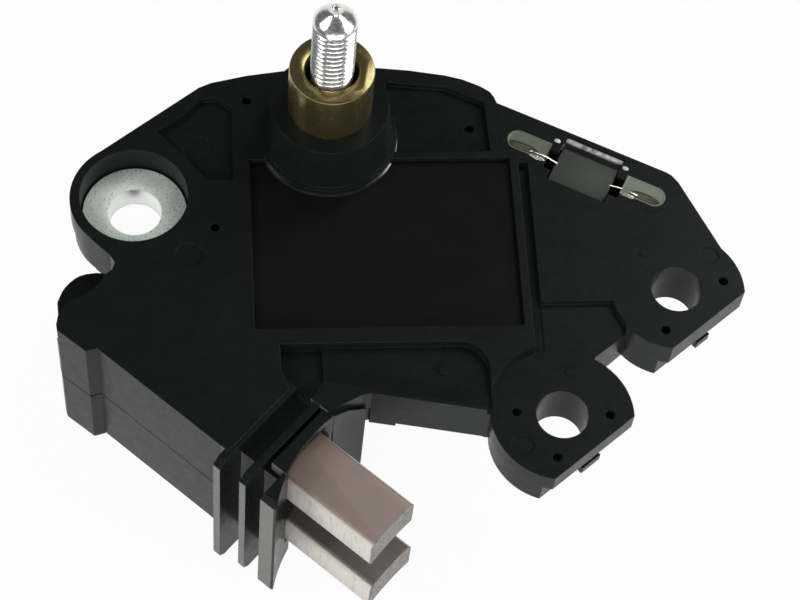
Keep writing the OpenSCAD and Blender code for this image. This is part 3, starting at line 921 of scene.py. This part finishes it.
@dataclass
class TerminalPost:
    """The stud with its rolled thread, and the brass sleeve round it. Sizes are in millimetres.

    The profile gives the height and radius of each ring of the post, from its shank to its point.
    """

    crest: float = 2.5
    crest_round: float = 0.03
    root: float = 2.08
    foot_sunk: float = 0.3
    root_sunk: float = 0.05
    pitch: float = 0.8
    steps: int = 64
    thread_low: float = 17.0
    thread_cuts: Pair = (0.2, 0.12)
    spare_turns: int = 4
    shoulder: float = 29.4
    profile: tuple[Pair, ...] = (
        (17.1, 2.3), (17.3, 2.08), (29.0, 2.08), (29.2, 2.48), (29.4, 2.5), (29.52, 2.44), (29.8, 2.2),
        (30.05, 1.92), (30.3, 1.56), (30.7, 1.0), (30.98, 0.6), (31.15, 0.49), (32.0, 0.47), (32.08, 0.38),
        (31.8, 0.3))
    shank: float = 2.3
    head: float = 4.4
    head_low: float = 1.4
    head_top: float = 4.4
    sleeve_r: float = 4.9
    sleeve_bore: float = 3.07
    sleeve_low: float = 5.2
    sleeve_top: float = 20.5
    sleeve_edge: float = 0.3

    @property
    def section(self) -> tuple[Pair, ...]:
        """Section of the thread's ridge.

        Returns:
            The share of the pitch and the radius of each of its corners.
        """
        foot = self.root - self.foot_sunk
        inside = self.root - self.root_sunk
        near_crest = self.crest - self.crest_round
        return ((0.02, foot), (0.03, inside), (0.40, near_crest), (0.46, self.crest), (0.54, self.crest),
                (0.60, near_crest), (0.97, inside), (0.98, foot))

    def ridge(self) -> Piece:
        """Sweep the thread's ridge up a helix, cut it level at both ends and close it.

        Returns:
            The ridge, with its foot inside the core.
        """
        Bench.clear()
        bpy.ops.mesh.primitive_plane_add(size=self.pitch * MM, location=(0, 0, 0))
        ridge = Bench.named("thread_ridge")
        start = self.thread_low - 2 * self.pitch
        with Bench.editing(ridge):
            mesh = bmesh.from_edit_mesh(ridge.data)
            bmesh.ops.delete(mesh, geom=list(mesh.verts), context="VERTS")
            corners = [mesh.verts.new(in_metres(radius, 0.0, start + share * self.pitch))
                       for share, radius in self.section]
            for low, high in zip(corners, corners[1:] + corners[:1]):
                mesh.edges.new((low, high))
            bmesh.update_edit_mesh(ridge.data)
        turns = int((self.shoulder - self.thread_low) / self.pitch) + self.spare_turns
        Bench.wind(ridge, self.pitch, turns, self.steps)
        Bench.trim(ridge, self.thread_low + self.thread_cuts[0], self.shoulder - self.thread_cuts[1])
        return ridge

    def build(self) -> None:
        """Draw the post out of its head, lay the ridge round it and turn the sleeve."""
        stud = Bench.cylinder("threaded_stud", self.head, self.head_low, self.head_top, self.steps)
        with Bench.editing(stud):
            Bench.top(stud)
            bpy.ops.mesh.inset(thickness=(self.head - self.shank) * MM)
            Bench.draw_out(self.head_top, self.shank, self.profile)
        Bench.join(stud, [self.ridge()])
        self.shift(stud)
        Bench.smooth(stud, 28.0)
        finish(stud, STUD_ZINC.build(), Body.HOLDER, "stud_steel", "terminal_stud")
        sleeve = Bench.cylinder("brass_sleeve", self.sleeve_r, self.sleeve_low, self.sleeve_top)
        Bench.bore(sleeve, self.sleeve_bore)
        Bench.round_edges(sleeve, self.sleeve_edge)
        self.shift(sleeve)
        Bench.smooth(sleeve)
        finish(sleeve, BRASS.build(), Body.HOLDER, "sleeve_brass", "stud_sleeve")

    @staticmethod
    def shift(piece: Piece) -> None:
        """Put a piece made on the origin's axis on the stud's axis."""
        piece.location = in_metres(*STUD_AT, 0.0)
        Bench.settle(piece)


@dataclass
class BrushSet:
    """Two brushes, each with its spring and its stranded shunt. Sizes are in millimetres."""

    upper_z: float = 1.2
    pitch: float = 10.6
    back: float = -3.6
    rear: float = -24.0
    stroke: float = 9.0
    edge: float = 0.09
    tip: float = 16.4
    lower_more: float = 0.5
    hollow_reach: float = 1.0
    hollow_share: float = 0.35
    coil_r: float = 1.9
    wire_r: float = 0.3
    coil_turns: int = 8
    coil_steps: tuple[int, int] = (10, 24)
    coil_trim: float = 0.02
    strand_r: float = 0.24
    strand_off: float = 0.26
    strand_count: int = 3
    strand_turns: int = 5
    strand_steps: tuple[int, int] = (8, 16)
    strand_trim: float = 0.03

    @property
    def room(self) -> float:
        """Length of the channel behind a new brush."""
        return self.back - self.rear

    def build(self) -> None:
        """Make both brushes with what is behind them."""
        steel = SPRING.build()
        copper = COPPER.build()
        # The lower brush gets a darker copy of the graphite, which is painted shade from the upper brush
        # above it.
        for side, body, down, carbon in (("upper", Body.UPPER, 0, CARBON.build()),
                                         ("lower", Body.LOWER, 1, CARBON_SHADED.build())):
            brush = Bench.traced(f"brush_{side}", f"carbon_{side}")
            self.flatten_end(brush, self.tip + down * self.lower_more)
            Bench.round_edges(brush, self.edge, 2, 30.0)
            Bench.smooth(brush, 25.0)
            finish(brush, carbon, body, "brush_graphite", f"brush_{side}")
            z = self.upper_z - down * self.pitch
            self.soft(self.coil(f"coil_{side}"), z, steel, "spring_steel", f"brush_spring_{side}")
            self.soft(self.shunt(f"shunt_{side}"), z, copper, "pigtail_copper", f"pigtail_{side}")

    def flatten_end(self, brush: Piece, tip: float) -> None:
        """Ease the hollow of a brush's worn end.

        Args:
            brush: The brush.
            tip: How far its corners reach out of the box.
        """
        for vertex in brush.data.vertices:
            local = BRUSH_FRAME.local(vertex.co)
            if tip - self.hollow_reach < local.x < tip:
                vertex.co = BRUSH_FRAME.point(tip - self.hollow_share * (tip - local.x), local.y, local.z)

    def helix(self, name: str, radius: float, wire: float, turns: int, sides: int, steps: int) -> Piece:
        """Sweep a round wire up a helix about Z, from 0 to the channel's length.

        Args:
            name: Name of the piece.
            radius: Radius of the helix.
            wire: Radius of the wire.
            turns: Turns over the length.
            sides: Sides of the wire.
            steps: Steps in a turn.

        Returns:
            The swept wire, closed at both ends.
        """
        pitch = self.room / turns
        lean = math.atan2(pitch, 2 * math.pi * radius)
        Bench.clear()
        bpy.ops.mesh.primitive_circle_add(vertices=sides, radius=wire * MM, fill_type="NGON",
                                          location=in_metres(radius, 0.0, 0.0),
                                          rotation=(math.pi / 2 + lean, 0, 0))
        coil = Bench.named(name)
        Bench.settle(coil)
        Bench.wind(coil, pitch, turns, steps)
        return coil

    def coil(self, name: str) -> Piece:
        """The coil spring, its ends ground flat.

        Args:
            name: Name of the piece.

        Returns:
            The spring about Z.
        """
        coil = self.helix(name, self.coil_r, self.wire_r, self.coil_turns, *self.coil_steps)
        Bench.trim(coil, self.coil_trim, self.room - self.coil_trim)
        return coil

    def shunt(self, name: str) -> Piece:
        """Lay strands round each other to a stranded shunt.

        Args:
            name: Name of the piece.

        Returns:
            The shunt about Z.
        """
        strands = []
        for index in range(self.strand_count):
            strand = self.helix(f"{name}_{index}", self.strand_off, self.strand_r, self.strand_turns,
                                *self.strand_steps)
            strand.rotation_euler = (0, 0, index * 2 * math.pi / self.strand_count)
            Bench.settle(strand)
            strands.append(strand)
        Bench.join(strands[0], strands[1:])
        shunt = Bench.named(name)
        Bench.trim(shunt, self.strand_trim, self.room - self.strand_trim)
        return shunt

    def soft(self, piece: Piece, z: float, material: bpy.types.Material, slot: str,
             node: str) -> None:
        """Lay a piece that was made about Z along its channel.

        Args:
            piece: The spring or shunt.
            z: Height of the channel's middle.
            material: Its material.
            slot: The record's material slot.
            node: The frame node that it replaces.
        """
        turn = Matrix.Rotation(BRUSH_FRAME.turn, 4, "Z") @ Matrix.Rotation(math.pi / 2, 4, "Y")
        piece.matrix_world = Matrix.Translation(BRUSH_FRAME.point(self.rear, 0.0, z)) @ turn
        Bench.settle(piece)
        Bench.smooth(piece, 50.0)
        finish(piece, material, Body.HOLDER, slot, node)
        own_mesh(piece)


@dataclass
class CapacitorBay:
    """The grey capacitor in its window, with its leads, welds and the bead behind it.

    Sizes are in millimetres. A sign of -1 is the left slot and 1 the right, and a slot's places are given for
    the right one, from the bay's origin.
    """

    x: float = 52.7
    y: float = 2.3
    turn: float = math.radians(-28.0)
    slot_floor: float = 6.0
    slot_top: float = 7.0
    slot_width: float = 2.68
    slot_span: Pair = (4.87, 10.06)
    slot_steps: int = 12
    slot_flat: float = 0.02
    pad_top: float = 7.08
    pad_width: float = 2.66
    pad_shift: float = 0.8
    pad_rim: float = 0.12
    pad_sunk: float = 0.05
    wire_r: float = 0.1
    wire_edge: float = 0.04
    wire_path: tuple[Point, ...] = ((3.3, 0.15, 6.56), (3.5, 0.15, 6.62), (4.6, 0.1, 6.98), (5.2, 0.08, 7.13),
                                    (6.2, 0.04, 7.12), (6.9, 0.0, 7.05))
    weld_at: Pair = (5.8, -0.5)
    weld_sunk: float = 0.04
    weld_size: Point = (1.0, 0.28, 0.13)
    weld_jitter: Point = (0.07, 0.1, 0.3)
    weld_seed: int = 7
    foot_at: Pair = (7.75, 0.1)
    foot_sunk: float = 0.05
    foot_size: Point = (1.9, 0.56, 1.0)
    foot_t: float = 0.1
    foot_edge: Pair = (0.26, 0.02)
    bed_middle: Point = (0.0, 3.05, 4.625)
    bed_size: Point = (8.6, 1.3, 3.25)
    bed_jitter: float = 0.05
    bed_seed: int = 11
    bed_cuts: int = 6
    drop_at: tuple[Point, ...] = ((-4.5, 2.8, 7.02), (4.2, 2.9, 7.02))
    drop_size: Point = (0.42, 0.26, 0.3)
    drop_jitter: Point = (0.015, 0.0, 1.0)
    drop_seed: int = 3
    case_edge: float = 0.22
    bead_edge: float = 0.2

    def place(self, piece: Piece) -> None:
        """Put a piece made about the origin in the bay.

        Args:
            piece: The piece.
        """
        move = Matrix.Translation(in_metres(self.x, self.y, 0.0))
        piece.matrix_world = move @ Matrix.Rotation(self.turn, 4, "Z")
        Bench.settle(piece)

    def wire(self, name: str, sign: int) -> Piece:
        """One lead: a thin wire drawn out step by step and bent down into its slot.

        Args:
            name: Name of the piece.
            sign: The slot's side.

        Returns:
            The wire.
        """
        x, y, z = self.wire_path[0]
        Bench.clear()
        bpy.ops.mesh.primitive_circle_add(vertices=12, radius=self.wire_r * MM, fill_type="NGON",
                                          location=in_metres(sign * x, y, z),
                                          rotation=(0, sign * math.pi / 2, 0))
        wire = Bench.named(name)
        Bench.settle(wire)
        with Bench.editing(wire, "SELECT"):
            for first, second in zip(self.wire_path, self.wire_path[1:]):
                x, y, z = (after - before for before, after in zip(first, second))
                bpy.ops.mesh.extrude_region_move(TRANSFORM_OT_translate={"value": in_metres(sign * x, y, z)})
            Bench.face_out()
        self.place(wire)
        Bench.round_edges(wire, self.wire_edge, 2, 60.0)
        Bench.smooth(wire, 40.0)
        return wire

    def blob(self, name: str, middle: Point, size: Point, jitter: Point, seed: int) -> Piece:
        """A round lump of weld or glue with an uneven skin.

        Args:
            name: Name of the piece.
            middle: Its middle.
            size: Half its size along each axis.
            jitter: How far its points move, and the uniform and normal shares of that.
            seed: Number that fixes the unevenness.

        Returns:
            The lump.
        """
        Bench.clear()
        bpy.ops.mesh.primitive_uv_sphere_add(segments=20, ring_count=12, radius=1.0 * MM,
                                             location=in_metres(*middle))
        blob = Bench.named(name)
        offset, uniform, normal = jitter
        with Bench.editing(blob, "SELECT"):
            bpy.ops.transform.resize(value=size)
            bpy.ops.transform.vertex_random(offset=offset * MM, uniform=uniform, normal=normal, seed=seed)
        Bench.settle(blob)
        Bench.modifier(blob, "SUBSURF", levels=1, render_levels=1)
        self.place(blob)
        Bench.smooth(blob, 80.0)
        return blob

    def plate(self, name: str, sign: int, width: float, shift: float, top: float) -> Piece:
        """A plate that fills a slot: square at its near end and round at its far end.

        Args:
            name: Name of the piece.
            sign: The slot's side.
            width: Width of the plate.
            shift: Place of its middle across the bay.
            top: Height of its top.

        Returns:
            The plate about the bay's origin.
        """
        near, far = self.slot_span
        margin = 0.1 * MM
        plate = Bench.block(name, (sign * (near + far) / 2, shift, (self.slot_floor + top) / 2),
                            (far - near, width, top - self.slot_floor))

        def far_corner(edge: bmesh.types.BMEdge) -> bool:
            """Whether an edge stands upright at the plate's far end."""
            low, high = (vertex.co for vertex in edge.verts)
            return abs(low.z - high.z) > margin and sign * low.x > far * MM - margin

        with Bench.editing(plate):
            Bench.choose(plate, "EDGE", far_corner)
            bpy.ops.mesh.bevel(offset=(width / 2 - self.slot_flat) * MM, segments=self.slot_steps)
        return plate

    def lip(self, name: str, sign: int) -> Piece:
        """The moulding in a slot that stays clear beside the pad.

        Args:
            name: Name of the piece.
            sign: The slot's side.

        Returns:
            The lip.
        """
        lip = self.plate(name, sign, self.slot_width, 0.0, self.slot_top)
        self.place(lip)
        Bench.smooth(lip, 30.0)
        return lip

    def pad(self, name: str, sign: int) -> Piece:
        """The strip's bare face in a slot, with a low rim.

        Args:
            name: Name of the piece.
            sign: The slot's side.

        Returns:
            The pad.
        """
        pad = self.plate(name, sign, self.pad_width, self.pad_shift, self.pad_top)
        with Bench.editing(pad):
            Bench.top(pad)
            bpy.ops.mesh.inset(thickness=self.pad_rim * MM)
            bpy.ops.mesh.inset(thickness=self.pad_rim * MM)
            bpy.ops.transform.translate(value=in_metres(0.0, 0.0, -self.pad_sunk))
        self.place(pad)
        Bench.smooth(pad, 20.0)
        return pad

    def foot(self, name: str, sign: int) -> Piece:
        """The lead's flattened end on the pad, with a scorched edge.

        Args:
            name: Name of the piece.
            sign: The slot's side.

        Returns:
            The flattened end.
        """
        Bench.clear()
        spot = (sign * self.foot_at[0], self.foot_at[1], self.pad_top - self.foot_sunk)
        bpy.ops.mesh.primitive_cylinder_add(vertices=40, radius=1.0 * MM, depth=self.foot_t * MM,
                                            location=in_metres(*spot))
        foot = Bench.named(name)
        with Bench.editing(foot, "SELECT"):
            bpy.ops.transform.resize(value=self.foot_size)
        Bench.settle(foot)
        rim, sunk = self.foot_edge
        with Bench.editing(foot):
            Bench.top(foot)
            bpy.ops.mesh.inset(thickness=rim * MM)
            bpy.ops.transform.translate(value=in_metres(0.0, 0.0, -sunk))
        self.place(foot)
        Bench.smooth(foot, 30.0)
        return foot

    def bed(self) -> Piece:
        """The black glue between the capacitor and the bead, which fills most of the gap.

        Returns:
            The glue bed.
        """
        bed = Bench.block("glue_bed", self.bed_middle, self.bed_size)
        with Bench.editing(bed, "SELECT"):
            bpy.ops.mesh.subdivide(number_cuts=self.bed_cuts)
            Bench.top(bed)
            bpy.ops.transform.vertex_random(offset=self.bed_jitter * MM, uniform=0.0, normal=1.0,
                                            seed=self.bed_seed)
        self.place(bed)
        Bench.smooth(bed, 50.0)
        return bed

    def leads(self) -> None:
        """Lay the two leads with their welds and flattened ends, and the lips of their slots."""
        lead, weld, pad, scorch, black = (look.build() for look in (LEAD, WELD, PAD, SCORCH, LIP_BLACK))
        for side, sign in (("supply", -1), ("earth", 1)):
            wire = self.wire(f"round_lead_{side}", sign)
            finish(wire, lead, Body.HOLDER, "lead_tin", f"capacitor_lead_{side}")
            spot = (sign * self.weld_at[0], self.weld_at[1], self.pad_top - self.weld_sunk)
            blob = self.blob(f"weld_{side}", spot, self.weld_size, self.weld_jitter, self.weld_seed + sign)
            finish(blob, weld, Body.HOLDER, "lead_tin")
            foot = self.foot(f"flat_end_{side}", sign)
            finish(foot, pad, Body.HOLDER, "lead_tin")
            foot.data.materials.append(scorch)
            widest = max(foot.data.polygons, key=lambda face: face.area if face.normal.z > FACES_UP else 0.0)
            for face in foot.data.polygons:
                face.material_index = 0 if face.index == widest.index else 1
            finish(self.lip(f"slot_lip_{side}", sign), black, Body.HOLDER, "moulding")

    def build(self) -> None:
        """Dress the capacitor, its leads, the bead and its glue, and the strips in the slots."""
        case = Bench.traced("capacitor_body", "capacitor_case")
        Bench.round_edges(case, self.case_edge, 3, 40.0)
        Bench.smooth(case, 30.0)
        finish(case, CASE.build(), Body.HOLDER, "capacitor_case", "capacitor_body")
        bead = Bench.traced("capacitor_adhesive", "cured_bead")
        Bench.round_edges(bead, self.bead_edge, 4, 40.0)
        Bench.smooth(bead, 50.0)
        finish(bead, BEAD.build(), Body.HOLDER, "adhesive", "capacitor_adhesive")
        self.leads()
        finish(self.bed(), GLUE.build(), Body.HOLDER, "adhesive")
        # Glossy drops at the two glints, whose light grey colour is a painted glint.
        clear = GLINT_DROP.build()
        for name, spot in zip(("glue_drop_left", "glue_drop_right"), self.drop_at):
            drop = self.blob(name, spot, self.drop_size, self.drop_jitter, self.drop_seed)
            finish(drop, clear, Body.HOLDER, "adhesive")
        # The supply strip and the bush strip get the darker copy, which is painted shade. The earth strip
        # gets the lighter copy, which is painted light.
        tin, pale = TIN.build(), TIN_LIT.build()
        dress(tin, "lead_frame_supply", "lead_frame_bush")
        dress(pale, "lead_frame_earth")
        finish(self.pad("slot_pad_supply", -1), tin, Body.HOLDER, "strip_tin")
        finish(self.pad("slot_pad_earth", 1), pale, Body.HOLDER, "strip_tin")


@dataclass
class Circuit:
    """The filled well, the rim of filler that climbs the boss, and what lies under the filler.

    Sizes are in millimetres. The climb gives the height and radius of each ring of the rim.
    """

    foot: float = 8.25
    foot_low: float = 5.9
    level: float = 6.31
    climb: tuple[Pair, ...] = ((6.34, 8.08), (6.4, 7.95), (6.5, 7.84), (6.64, 7.76), (6.8, 7.7), (6.9, 7.6))

    def meniscus(self) -> None:
        """Draw the glossy rim of filler up the foot of the stud's boss."""
        rim = Bench.cylinder("filler_rim", self.foot, self.foot_low, self.level, 128)
        with Bench.editing(rim):
            Bench.top(rim)
            Bench.draw_out(self.level, self.foot, self.climb)
        TerminalPost.shift(rim)
        Bench.smooth(rim, 50.0)
        finish(rim, RIM.build(), Body.HOLDER, "potting")

    def build(self) -> None:
        """Dress the filler, the sink, the board and the parts on it."""
        dress(FILLER.build(), "potting_fill")
        self.meniscus()
        dress(ALUMINIUM.build(), "heat_sink")
        dress(CERAMIC.build(), "circuit_substrate")
        dress(EPOXY.build(), "regulator_chip", "power_transistor")
        dress(DIODE_EPOXY.build(), "freewheel_diode")
        dress(CONTACT.build(), "brush_terminal_upper", "brush_terminal_lower")
        dress(CAP_BLACK.build(), "brush_box_cap")


# Studio


@dataclass
class Softbox:
    """One soft lamp: where it stands, its size and power, and what it looks at, in metres and watts."""

    name: str
    place: Point
    width: float
    height: float
    power: float
    aim: Point = (0.03, -0.01, 0.0)

    def build(self) -> None:
        """Hang the lamp."""
        data = bpy.data.lights.new(self.name, "AREA")
        data.shape = "RECTANGLE"
        data.size, data.size_y = self.width, self.height
        data.energy = self.power
        lamp = bpy.data.objects.new(self.name, data)
        lamp.location = self.place
        lamp.rotation_euler = (Vector(self.aim) - Vector(self.place)).to_track_quat("-Z", "Y").to_euler()
        bpy.context.scene.collection.objects.link(lamp)


@dataclass
class Studio:
    """Camera at the photograph's angle, pale floor, soft lamps and an even world."""

    eye: Point = in_metres(7.32, -150.53, 243.18)
    right: Point = (0.99641, -0.05505, 0.06430)
    up: Point = (0.01558, 0.86588, 0.50002)
    forward: Point = (0.08321, 0.49723, -0.86363)
    sensor: float = 36.0
    lens: float = 108.3
    clip_start: float = 0.01
    floor_z: float = -17.7 * MM
    floor_size: float = 4.0
    floor_grey: float = 0.9
    floor_glow: float = 0.94
    gloss_glow: float = 0.75
    world_light: float = 0.12
    lamps: list[Softbox] = field(default_factory=lambda: [
        Softbox("front", (0.0, -0.95, 0.3), 1.2, 0.45, 9.0),
        Softbox("left_side", (-0.75, -0.1, 0.75), 0.5, 0.4, 4.0),
        Softbox("right_side", (0.9, -0.2, 0.5), 0.6, 0.5, 5.0),
        Softbox("back_right", (0.55, 0.45, 0.73), 0.4, 0.5, 2.8),
    ])

    def build(self) -> None:
        """Set up everything that isn't the object."""
        scene = bpy.context.scene
        scene.view_settings.view_transform = "Standard"
        self.camera(scene)
        self.world(scene)
        self.floor()
        for lamp in self.lamps:
            lamp.build()

    def camera(self, scene: bpy.types.Scene) -> None:
        """Stand the camera where the photograph was taken.

        Args:
            scene: The scene that gets it.
        """
        data = bpy.data.cameras.new("camera")
        data.sensor_width = self.sensor
        data.lens = self.lens
        data.clip_start = self.clip_start
        camera = bpy.data.objects.new("camera", data)
        columns = (Vector(self.right), Vector(self.up), -Vector(self.forward))
        camera.matrix_world = Matrix.Translation(self.eye) @ Matrix(columns).transposed().to_4x4()
        scene.collection.objects.link(camera)
        scene.camera = camera

    def world(self, scene: bpy.types.Scene) -> None:
        """Give the scene an even grey light that the camera sees as white.

        Args:
            scene: The scene that gets it.
        """
        scene.world = bpy.data.worlds.new("studio")
        scene.world.use_nodes = True
        wiring = Wiring(scene.world.node_tree)
        path = wiring.add("LightPath", {})
        light, seen = (wiring.add("Background", {"Color": (1.0, 1.0, 1.0, 1.0), "Strength": strength})
                       for strength in (self.world_light, 1.0))
        mix = wiring.add("MixShader", {"Fac": path.outputs["Is Camera Ray"], 1: light.outputs["Background"],
                                       2: seen.outputs["Background"]})
        wiring.add("OutputWorld", {"Surface": mix.outputs["Shader"]})

    def floor(self) -> None:
        """A pale floor that shows white to the camera and to gloss, and keeps a faint shadow."""
        Bench.clear()
        bpy.ops.mesh.primitive_plane_add(size=self.floor_size, location=(0, 0, self.floor_z))
        floor = Bench.named("floor")
        Bench.settle(floor)
        material = bpy.data.materials.new("pale_floor")
        material.use_nodes = True
        wiring = Wiring(material.node_tree)
        path = wiring.add("LightPath", {}).outputs
        gloss = wiring.maths("MULTIPLY", path["Is Glossy Ray"], self.gloss_glow)
        seen = wiring.maths("MAXIMUM", path["Is Camera Ray"], gloss)
        clear = wiring.maths("MAXIMUM", seen, path["Is Transmission Ray"])
        share = wiring.maths("MULTIPLY", clear, self.floor_glow)
        matt = wiring.add("BsdfDiffuse", {"Color": (self.floor_grey, self.floor_grey, self.floor_grey, 1.0)})
        glow = wiring.add("Emission", {"Color": (1.0, 1.0, 1.0, 1.0), "Strength": 1.0})
        mix = wiring.add("MixShader", {"Fac": share, 1: matt.outputs["BSDF"], 2: glow.outputs["Emission"]})
        wiring.add("OutputMaterial", {"Surface": mix.outputs["Shader"]})
        floor.data.materials.append(material)


def main() -> None:
    """Build every part of the scene in order."""
    logging.basicConfig(level=logging.INFO, format="%(name)s: %(message)s")
    for part in (Studio(), Housing(), MountBush(), TerminalPost(), BrushSet(), CapacitorBay(), Circuit()):
        part.build()


if __name__ == "__main__":
    main()
